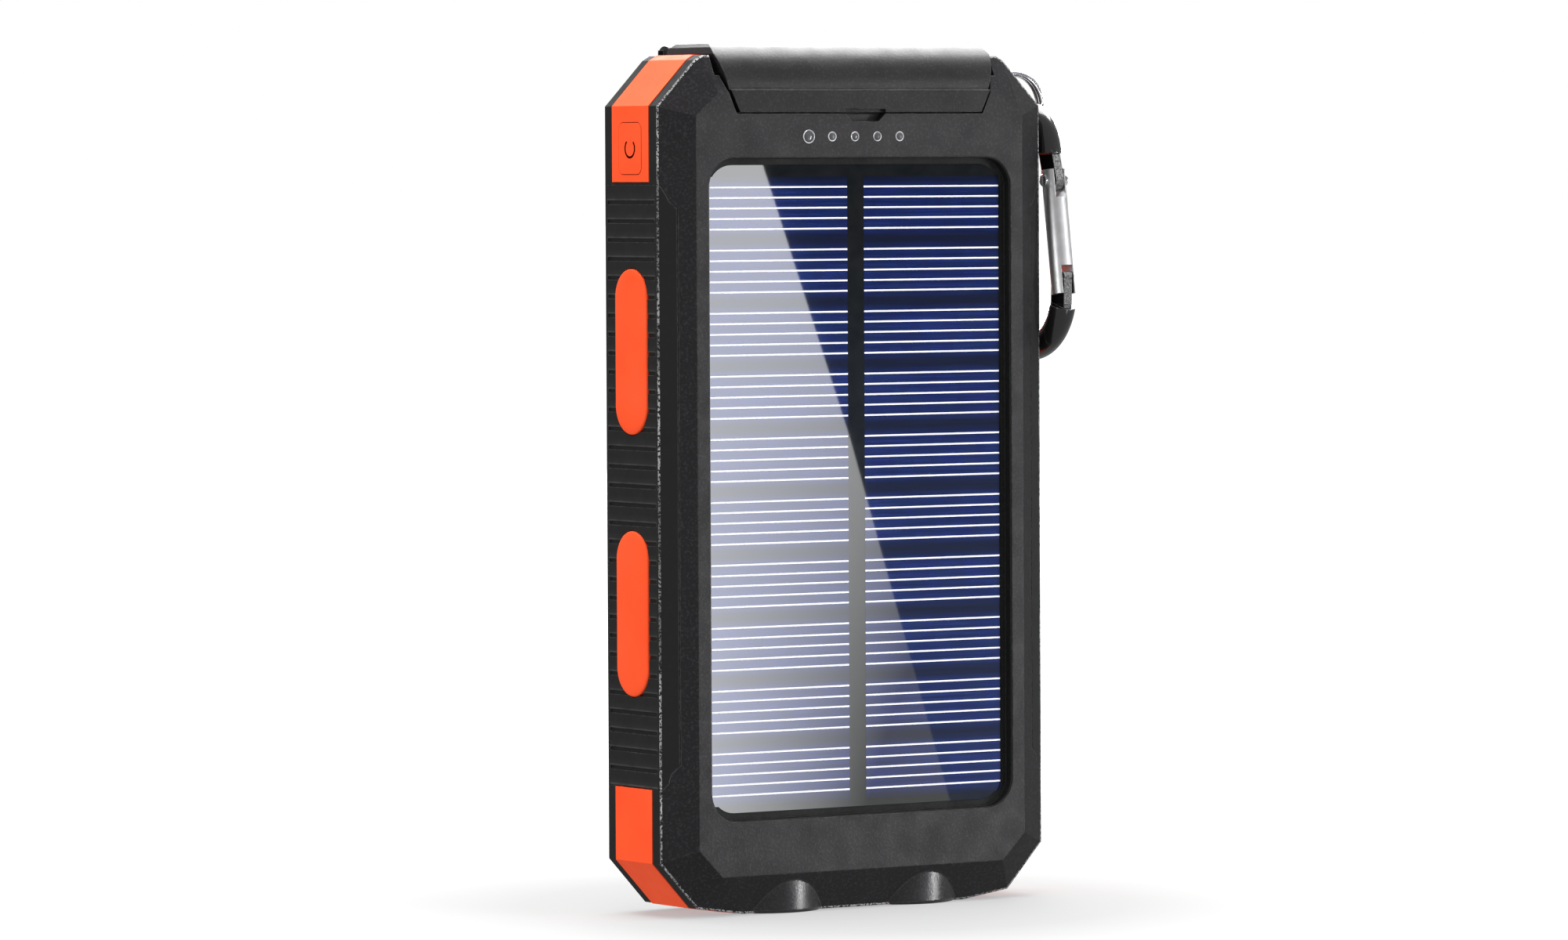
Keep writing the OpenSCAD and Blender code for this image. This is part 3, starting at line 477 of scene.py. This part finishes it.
GREY = (0.0132, 0.0124, 0.0136)
BLACK = (0.0085, 0.0085, 0.009)
shell_grey = moulded("shell_grey", GREY, rough=0.46, line=(-8.03, -7.85), gloss=0.17, bulges=True)
cover_grey = moulded("cover_grey", (0.0105, 0.01, 0.0108), rough=0.38, gloss=0.5, crest=(135.5, 139.5))
shell_black = moulded("shell_black", BLACK, rough=0.42, gloss=0.5)
# Painted shade: this black colours the liner that darkens the panel recess walls.
shade_liner_black = moulded("shade_liner_black", (0.006, 0.0065, 0.006), rough=0.55, wear=0.05, gloss=0.15)
rubber_black = rubber("rubber_black", (0.008, 0.0082, 0.008))
grip_rubber = rubber("grip_rubber", (0.008, 0.0082, 0.008), (-8.03, -7.85), True)
orange = orange_plastic("orange_plastic", 0.15)
symbol_orange = orange_plastic("symbol_orange", 0.03)
steel = metal("bright_steel", (0.62, 0.62, 0.63))
satin = metal("satin_aluminium", (0.74, 0.74, 0.75), 0.42, 0.35)
chrome = metal("chrome_wire", (0.8, 0.8, 0.82), 0.1, 0.1)
hook_black = hook_paint()
gloss_black = gloss_paint("gloss_black", (0.008, 0.008, 0.008), 0.2)
clear_lens = clear("clear_lens", (0.95, 0.97, 1.0))
white_plastic = plain_plastic("white_plastic", (0.85, 0.85, 0.83))
black_plastic = plain_plastic("black_plastic", (0.02, 0.02, 0.02))
phosphor = plain_plastic("led_phosphor", (0.9, 0.72, 0.15))
red_sleeve = plain_plastic("red_sleeve", (0.45, 0.015, 0.015))
green_board = plain_plastic("green_board", (0.01, 0.11, 0.045))
foil = metal("pouch_foil", (0.66, 0.67, 0.69), 0.35, 0.5, (1, 1, 1))
foam = rubber("black_foam", (0.02, 0.02, 0.02))
mirror = metal("mirror_coat", (0.9, 0.9, 0.9), 0.07, 0.05)
brass = metal("brass_pin", (0.75, 0.52, 0.2), 0.2)
cell_blue = cell_material()
laminate_black = laminate_material()
silver_print = finger_material()

set_material(shell_grey, "front_shell")
set_material(cover_grey, "port_cover")
set_material(shell_black, "back_shell", "port_frame", "screw_plugs")
set_material(rubber_black, "gasket_strips", "bumper_end", "corner_guard_left", "corner_guard_right",
             "port_cover_seal")
set_material(grip_rubber, "grip_left", "grip_right")
set_material(orange, "grip_pads_left", "grip_pads_right", "corner_strip_left", "corner_strip_right",
             "torch_strip", "power_button")
set_material(laminate_black, "solar_board", "panel_resin")
set_material(cell_blue, "solar_cells")
set_material(red_sleeve, "panel_leads", "battery_leads", "torch_lead_left", "torch_lead_right")
set_material(clear_lens, "indicator_lenses", "torch_lens_left", "torch_lens_right", "compass_dome")
set_material(white_plastic, "indicator_leds", "usb_tongue_left", "usb_tongue_right")
set_material(green_board, "circuit_board")
set_material(black_plastic, "board_parts", "micro_usb_tongue")
set_material(steel, "power_switch", "usb_shell_left", "usb_shell_right", "micro_usb_shell", "hinge_pin",
             "case_screws", "hook_rivet", "gate_spring")
set_material(foil, "front_battery", "rear_battery")
set_material(foam, "battery_foam")
set_material(mirror, "reflector_left", "reflector_right")
set_material(phosphor, "torch_led_left", "torch_led_right")
set_material(gloss_black, "compass_bowl", "compass_card")
set_material(brass, "compass_pivot")
set_material(chrome, "split_ring")
set_material(hook_black, "hook_body")
set_material(satin, "hook_gate")

# ---------------------------------------------------------------- solar panel face

PANEL_Y = -9.25
CELL_X = 28.7
BUS_HALF = 1.65
CELL_ROWS = 10
FINGERS = 5


def solar_face():
    """Resin-covered laminate, its cells and their printed contact lines."""
    resin = bmesh.new()
    add_prism(resin, rounded_outline(-29.05, 29.05, 16.9, 123.2, 4.6), PANEL_Y, PANEL_Y + 0.5)
    face = finish_mesh("laminate_face", resin, "case", laminate_black)
    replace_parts(face, "panel_resin")
    cells = bmesh.new()
    for row in range(CELL_ROWS):
        low = CELL_LOW + row * CELL_PITCH
        for x0, x1 in ((-CELL_X, -BUS_HALF), (BUS_HALF, CELL_X)):
            add_box(cells, (x0, PANEL_Y - 0.01, low - CELL_MARGIN),
                    (x1, PANEL_Y + 0.3, low + CELL_PITCH - CELL_MARGIN))
    cell_piece = finish_mesh("cell_faces", cells, "case", cell_blue)
    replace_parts(cell_piece, "solar_cells")
    lines = bmesh.new()
    for row in range(CELL_ROWS):
        for finger in range(FINGERS):
            z = CELL_LOW + row * CELL_PITCH + 1.6 + finger * 1.72
            for x0, x1 in ((-CELL_X, -BUS_HALF), (BUS_HALF, CELL_X)):
                add_box(lines, (x0, PANEL_Y - 0.025, z - 0.14), (x1, PANEL_Y + 0.1, z + 0.14))
    finish_mesh("cell_fingers", lines, "case", silver_print)


solar_face()

# ---------------------------------------------------------------- detail pieces


def ring_faces(mesh_data, rings, closed=False):
    """Joins rings of vertices, each as long as the next, into a skin, capped unless it closes on itself."""
    count = len(rings[0])
    pairs = list(zip(rings, rings[1:]))
    if closed:
        pairs.append((rings[-1], rings[0]))
    for first, second in pairs:
        for i in range(count):
            j = (i + 1) % count
            mesh_data.faces.new([first[i], second[i], second[j], first[j]])
    if not closed:
        mesh_data.faces.new(rings[0])
        mesh_data.faces.new(rings[-1][::-1])


def spin(mesh_data, centre, profile, along, steps=48, closed=False):
    """Turns a profile of (radius, height) pairs round the X, Y or Z axis through centre."""
    rings = []
    for radius, height in profile:
        ring = []
        for i in range(steps):
            a = 2 * math.pi * i / steps
            u = radius * math.cos(a)
            v = radius * math.sin(a)
            point = {"X": (height, u, v), "Y": (u, height, v), "Z": (u, v, height)}[along]
            ring.append(mesh_data.verts.new((Vector(centre) + Vector(point)) * MM))
        rings.append(ring)
    ring_faces(mesh_data, rings, closed)


def tube(mesh_data, points, radius, steps=12):
    """Round wire through points."""
    rings = []
    for i, point in enumerate(points):
        ahead = Vector(points[min(i + 1, len(points) - 1)]) - Vector(points[max(i - 1, 0)])
        turn = ahead.to_track_quat("Z", "Y")
        ring = []
        for k in range(steps):
            a = 2 * math.pi * k / steps
            out = turn @ Vector((radius * math.cos(a), radius * math.sin(a), 0))
            ring.append(mesh_data.verts.new((Vector(point) + out) * MM))
        rings.append(ring)
    ring_faces(mesh_data, rings)


def stroke(mesh_data, path, width, place):
    """Raised print along a flat path; place turns (u, v, height) into a point."""
    for (u0, v0), (u1, v1) in zip(path, path[1:]):
        long = math.hypot(u1 - u0, v1 - v0)
        du = (u1 - u0) / long * width / 2
        dv = (v1 - v0) / long * width / 2
        flat = ((u0 - du - dv, v0 - dv + du), (u0 - du + dv, v0 - dv - du),
                (u1 + du + dv, v1 + dv - du), (u1 + du - dv, v1 + dv + du))
        rings = [[mesh_data.verts.new(Vector(place(u, v, h)) * MM) for u, v in flat] for h in (0, 1)]
        ring_faces(mesh_data, rings)


PAD_PROFILE = ((0, 37.2), (0, 38.02), (0.05, 38.14), (0.16, 38.22), (0.32, 38.27), (1.2, 38.3), (2.8, 38.33),
               (4.2, 38.34))


def crowned_pads():
    """Oval grip pads with a rolled edge and a slightly crowned face."""
    for side, name in ((-1, "grip_pads_left"), (1, "grip_pads_right")):
        data = bmesh.new()
        for z in (49.7, 92.7):
            rings = []
            for inset, x in PAD_PROFILE:
                ring = []
                for i in range(48):
                    a = 2 * math.pi * (i + 0.5) / 48
                    reach = 8.8 if math.sin(a) > 0 else -8.8
                    ring.append(data.verts.new(Vector((side * x, (4.8 - inset) * math.cos(a),
                                                       z + reach + (4.8 - inset) * math.sin(a))) * MM))
                rings.append(ring)
            ring_faces(data, rings)
        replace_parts(finish_mesh("crowned_" + name, data, "case", orange, True), name)


def split_ring_coil():
    """Nearly two turns of spring wire, stepped across where the turns change over."""
    points = []
    for i in range(145):
        turns = 0.08 + 1.84 * i / 144
        step = min(1, max(0, (turns - 0.88) / 0.24))
        y = -0.45 + 0.9 * step * step * (3 - 2 * step)
        a = 2 * math.pi * turns + 2.6
        points.append((38.3 + 5.5 * math.cos(a), y, 132.9 + 5.5 * math.sin(a)))
    data = bmesh.new()
    tube(data, points, 0.48)
    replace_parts(finish_mesh("ring_coil", data, "ring", chrome, True), "split_ring")


LETTERS = {
    "N": (((0, 0), (0, 1), (0.7, 0), (0.7, 1)),),
    "E": (((0.65, 1), (0, 1), (0, 0), (0.65, 0)), ((0, 0.52), (0.55, 0.52))),
    "S": (((0.65, 0.9), (0.5, 1), (0.15, 1), (0, 0.85), (0.05, 0.6), (0.6, 0.4), (0.65, 0.15), (0.5, 0),
           (0.15, 0), (0, 0.12)),),
    "W": (((0, 1), (0.22, 0), (0.45, 0.85), (0.68, 0), (0.9, 1)),),
}


def compass_marks():
    """Ring of ticks and the eight points of the compass, printed on the card."""
    white = bmesh.new()
    green = bmesh.new()

    def on_card(angle, u, v, height):
        """Point on the card: v outwards at a clockwise angle, u to its right, seen from behind."""
        a = math.radians(angle)
        right = u * math.cos(a) + v * math.sin(a)
        up = v * math.cos(a) - u * math.sin(a)
        return -right, 8.99 + 0.03 * height, COMPASS_Z + up

    def word(data, letters, angle, v, size, width):
        widths = [max(p[0] for path in LETTERS[c] for p in path) for c in letters]
        start = -(sum(widths) + 0.25 * (len(letters) - 1)) / 2
        for c, wide in zip(letters, widths):
            for path in LETTERS[c]:
                stroke(data, [((start + u) * size, v + w * size) for u, w in path], width,
                       lambda u, w, h: on_card(angle, u, w, h))
            start += wide + 0.25

    for tick in range(40):
        angle = tick * 9
        stroke(white, ((0, 4.15), (0, 5.35)), 0.26, lambda u, v, h, a=angle: on_card(a, u, v, h))
        if tick % 5 == 0 and tick:
            for side in (-3.2, 3.2):
                stroke(white, ((0, 4.15), (0, 5.35)), 0.26,
                       lambda u, v, h, a=angle + side: on_card(a, u, v, h))
    for angle, letter in ((0, "N"), (90, "E"), (180, "S"), (270, "W")):
        word(green, letter, angle, 2.3, 1.5, 0.3)
    for angle, letters in ((45, "NE"), (135, "SE"), (225, "SW"), (315, "NW")):
        word(white, letters, angle, 2.75, 0.85, 0.17)
    stroke(green, ((-0.5, 4.35), (0, 5.3)), 0.22, lambda u, v, h: on_card(0, u, v, h))
    stroke(green, ((0.5, 4.35), (0, 5.3)), 0.22, lambda u, v, h: on_card(0, u, v, h))
    stroke(green, ((-0.4, 4.5), (0.4, 4.5)), 0.22, lambda u, v, h: on_card(0, u, v, h))
    finish_mesh("compass_ticks", white, "card", white_plastic)
    finish_mesh("compass_letters", green, "card", glow_green)
    cap = bmesh.new()
    spin(cap, (0, 0, COMPASS_Z), ((1.15, 8.98), (1.15, 9.08), (0.95, 9.22), (0.5, 9.3), (0.01, 9.32)), "Y")
    finish_mesh("compass_cap", cap, "card", pale_metal, True)


def power_symbol():
    """Raised power symbol on the button's face."""
    data = bmesh.new()

    def on_button(u, v, height):
        return -38.14 - 0.025 * height, u, 126 + v

    arc = [(1.45 * math.sin(math.radians(a)), 1.45 * math.cos(math.radians(a))) for a in range(38, 323, 8)]
    stroke(data, arc, 0.34, on_button)
    stroke(data, ((0, 0.45), (0, 1.75)), 0.34, on_button)
    finish_mesh("power_symbol", data, "button", symbol_orange)


def indicator_domes():
    """Domed light windows, each in a thin bright rim."""
    domes = bmesh.new()
    rims = bmesh.new()
    for x, r in ((-10.35, 1.0), (-5.75, 0.68), (-1.25, 0.68), (3.2, 0.68), (7.65, 0.68)):
        dome = ((r, -6.6), (r, -11.02), (0.93 * r, -11.12), (0.75 * r, -11.22), (0.45 * r, -11.3),
                (0.15 * r, -11.33), (0.01, -11.33))
        spin(domes, (x, 0, 127.85), dome, "Y")
        rim = [(r + 0.05 + 0.1 * math.cos(math.radians(a)), -11.08 + 0.1 * math.sin(math.radians(a)))
               for a in range(0, 360, 45)]
        spin(rims, (x, 0, 127.85), rim, "Y", closed=True)
    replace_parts(finish_mesh("light_windows", domes, "case", milky, True), "indicator_lenses")
    finish_mesh("light_rims", rims, "case", bright_rim, True)


def recess_shade_liner():
    """Black frame along the walls of the panel recess: painted shade, a dark liner standing in for the
    shadow on the recess walls.
    """
    data = bmesh.new()
    outer = rounded_outline(-29.99, 29.99, 15.56, 124.44, 4.99)
    inner = rounded_outline(-29.8, 29.8, 15.75, 124.25, 4.8)
    sill = rounded_outline(-29.0, 29.0, 16.95, 123.15, 4.55)
    rings = []
    steps = ((outer, -9.02), (outer, -10.98), (inner, -10.9), (inner, -9.4), (sill, -9.15), (sill, -9.02))
    for outline, y in steps:
        rings.append([data.verts.new(Vector((x, y, z)) * MM) for x, z in outline])
    ring_faces(data, rings, closed=True)
    finish_mesh("recess_shade_liner", data, "case", shade_liner_black)


def plugs_and_screws():
    """Round rubber plugs with a rolled rim and a dished middle."""
    data = bmesh.new()
    for x, z in ((-28.4, 132.4), (28.4, 132.4), (-28.6, 10.9), (28.6, 10.9)):
        spin(data, (x, 0, z), ((1.86, 8.12), (1.86, 9.1), (1.8, 9.2), (1.65, 9.24), (1.5, 9.2), (1.4, 9.1),
                               (0.7, 9.05), (0.01, 9.04)), "Y")
    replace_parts(finish_mesh("dished_plugs", data, "case", rubber_black, True), "screw_plugs")


def socket_contacts():
    """Gold contact strips on the tongues of the three sockets."""
    data = bmesh.new()
    for middle in (-14, 14):
        for x in (-3.5, -1.05, 1.05, 3.5):
            add_box(data, (middle + x - 0.5, -1.76, 128.5), (middle + x + 0.5, -1.68, 136.4))
            add_box(data, (middle + x - 0.5, -1.78, 136.4), (middle + x + 0.5, -1.9, 136.8))
    for k in range(5):
        add_box(data, (-1.4 + 0.6 * k, -3.02, 134.2), (-1.12 + 0.6 * k, -2.98, 136.6))
    finish_mesh("socket_contacts", data, "case", gold)


def rivet_heads():
    """Domed heads over the gate's rivet."""
    data = bmesh.new()
    dome = ((0.68, 0), (1.05, 0.02), (1.05, 0.16), (0.95, 0.28), (0.7, 0.37), (0.35, 0.42), (0.01, 0.43))
    for side in (-1, 1):
        spin(data, (HOOK_X + side * 2.02, -8.3, 120.4), [(r, side * h) for r, h in dome], "X", 32)
    spin(data, (HOOK_X, -8.3, 120.4), ((0.01, -2.1), (0.68, -2.1), (0.68, 2.1), (0.01, 2.1)), "X", 32)
    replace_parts(finish_mesh("rivet_heads", data, "gate", steel, True), "hook_rivet")


def torch_details():
    """Domed phosphor chip, its white base and a clip ring in each reflector."""
    white = bmesh.new()
    yellow = bmesh.new()
    metal_ring = bmesh.new()
    for x in (-TORCH_X, TORCH_X):
        spin(white, (x, 0, 0), ((2.45, 14.6), (2.45, 14.2), (2.2, 14.1), (1.8, 14.1), (1.8, 14.6)), "Z")
        spin(yellow, (x, 0, 0), ((1.7, 14.6), (1.7, 14.1), (1.5, 13.5), (1.1, 13.1), (0.5, 12.95),
                                 (0.01, 12.92)), "Z")
        rim = [(7.1 + 0.14 * math.cos(math.radians(a)), 1.08 + 0.1 * math.sin(math.radians(a)))
               for a in range(0, 360, 45)]
        spin(metal_ring, (x, 0, 0), rim, "Z", 64, closed=True)
    finish_mesh("light_bases", white, "case", white_plastic, True)
    finish_mesh("light_chips", yellow, "case", phosphor, True)
    finish_mesh("lens_seals", metal_ring, "case", rubber_black, True)


bright_rim = metal("bright_rim", (0.62, 0.62, 0.64), 0.35, 0.1)
gold = metal("contact_gold", (0.83, 0.6, 0.24), 0.18, 0.1)
pale_metal = metal("compass_cap", (0.62, 0.58, 0.52), 0.35, 0.2)
glow_green = plain_plastic("compass_green", (0.02, 0.6, 0.22))
milky = plain_plastic("milky_window", (0.07, 0.072, 0.075), 0.1)
crowned_pads()
split_ring_coil()
compass_marks()
power_symbol()
indicator_domes()
recess_shade_liner()
plugs_and_screws()
socket_contacts()
rivet_heads()
torch_details()

# ---------------------------------------------------------------- stage and lights


def stage_sheet(name, corners, material, glossy_only=True):
    """Flat stage sheet through corners, in millimetres."""
    data = bmesh.new()
    data.faces.new([data.verts.new(Vector(corner) * MM) for corner in corners])
    mesh = bpy.data.meshes.new(name)
    data.to_mesh(mesh)
    data.free()
    sheet = bpy.data.objects.new(name, mesh)
    scene.collection.objects.link(sheet)
    mesh.materials.append(material)
    if glossy_only:
        sheet.visible_camera = False
        sheet.visible_diffuse = False
        sheet.visible_shadow = False
        sheet.visible_transmission = False
    return sheet


def mirrored_card():
    """Emitter that dims downwards and to the right, as the panel mirrors it."""
    tree = Tree("card_glow")
    down = tree.math("SUBTRACT", 0.1194, tree.axis("Z"))
    right = tree.math("SUBTRACT", tree.axis("X"), 0.0708)
    loss = tree.math("MULTIPLY", tree.math("MULTIPLY", down, right), 810.0)
    glow = tree.math("MAXIMUM", tree.math("SUBTRACT", 3.75, loss), 0.5)
    tree.set(Base_Color=(0, 0, 0), Emission_Color=(0.97, 0.98, 1.0), Emission_Strength=glow, Roughness=1.0)
    return tree.material


def floor_paper():
    """White paper that brightens away from the charger until it meets the white surroundings."""
    tree = Tree("floor_paper")
    cloud = tree.span(tree.noise(300, 2), 0.3, 0.7, 0, 1)
    reach = tree.add("ShaderNodeVectorMath", operation="LENGTH")
    tree.put(reach.inputs[0], tree.place)
    tree.set(Base_Color=tree.blend(cloud, (0.2, 0.2, 0.2), (0.215, 0.215, 0.215)), Roughness=0.9,
             Specular_IOR_Level=0.0, Emission_Color=(1, 1, 1),
             Emission_Strength=tree.span(reach.outputs["Value"], 0.05, 0.22, 0.4, 1.05))
    return tree.material


def make_stage():
    """White floor, a bright card the panel mirrors and a black card behind it."""
    size = 12000
    floor = stage_sheet("floor", ((-size, -size, 0), (size, -size, 0), (size, size, 0), (-size, size, 0)),
                        floor_paper(), False)
    floor.visible_glossy = False
    floor.visible_diffuse = False
    floor.visible_shadow = False
    stage_sheet("bright_card", ((60, -163, 132), (78.6, -163, 132), (101.3, -163, 71.4), (125, -163, -2),
                                (60, -163, -2)), mirrored_card())
    dark = Tree("card_black")
    dark.set(Base_Color=(0, 0, 0), Specular_IOR_Level=0.0, Emission_Color=(0.5, 0.62, 1.0),
             Emission_Strength=dark.span(dark.axis("Z"), -0.03, 0.11, 0.34, 0.06))
    stage_sheet("black_card", ((150, -400, -120), (360, -400, -120), (360, -400, 180), (150, -400, 180)),
                dark.material)


def make_world():
    """White to the eye, dimmer where it lights or is mirrored."""
    world = bpy.data.worlds.new("surroundings")
    world.use_nodes = True
    tree = world.node_tree
    back = tree.nodes["Background"]
    back.inputs["Color"].default_value = (1, 1, 1, 1)
    path = tree.nodes.new("ShaderNodeLightPath")
    dull = tree.nodes.new("ShaderNodeMix")
    dull.data_type = "FLOAT"
    dull.inputs[2].default_value = 0.5
    dull.inputs[3].default_value = 0.4
    tree.links.new(path.outputs["Is Glossy Ray"], dull.inputs[0])
    seen = tree.nodes.new("ShaderNodeMix")
    seen.data_type = "FLOAT"
    seen.inputs[3].default_value = 1.0
    tree.links.new(path.outputs["Is Camera Ray"], seen.inputs[0])
    tree.links.new(dull.outputs[0], seen.inputs[2])
    tree.links.new(seen.outputs[0], back.inputs["Strength"])
    scene.world = world


def area_light(name, place, aim, size, watts, diffuse=True, glossy=True):
    """Soft rectangular lamp at place, in metres, pointing at aim, seen by diffuse or glossy surfaces."""
    data = bpy.data.lights.new(name, "AREA")
    data.shape = "RECTANGLE"
    data.size, data.size_y = size
    data.energy = watts
    lamp = bpy.data.objects.new(name, data)
    look = Vector(aim) - Vector(place)
    lamp.matrix_world = Matrix.Translation(place) @ look.to_track_quat("-Z", "Y").to_matrix().to_4x4()
    lamp.visible_camera = False
    lamp.visible_diffuse = diffuse
    lamp.visible_glossy = glossy
    scene.collection.objects.link(lamp)


make_stage()
make_world()
area_light("front_right", (0.75, -1.3, 0.6), (0, 0, 0.07), (0.6, 0.6), 16, glossy=False)
area_light("left_side", (-1.3, -0.05, 0.3), (0, 0, 0.07), (0.6, 0.8), 7)
area_light("overhead", (0.1, 0.3, 1.3), (0.1, 0.3, 0), (1.5, 1.7), 48, glossy=False)
area_light("back_low", (0.98, 1.5, 0.5), (0, 0, 0.13), (1.0, 0.8), 32)
area_light("back_sheen", (0.92, 0.65, 1.15), (0.92, 0, 0.14), (1.6, 1.7), 72, diffuse=False)
area_light("front_strip", (0.9, -0.9, -0.05), (0, 0, 0.0), (0.06, 0.5), 9, diffuse=False)
scene.view_settings.view_transform = "Standard"
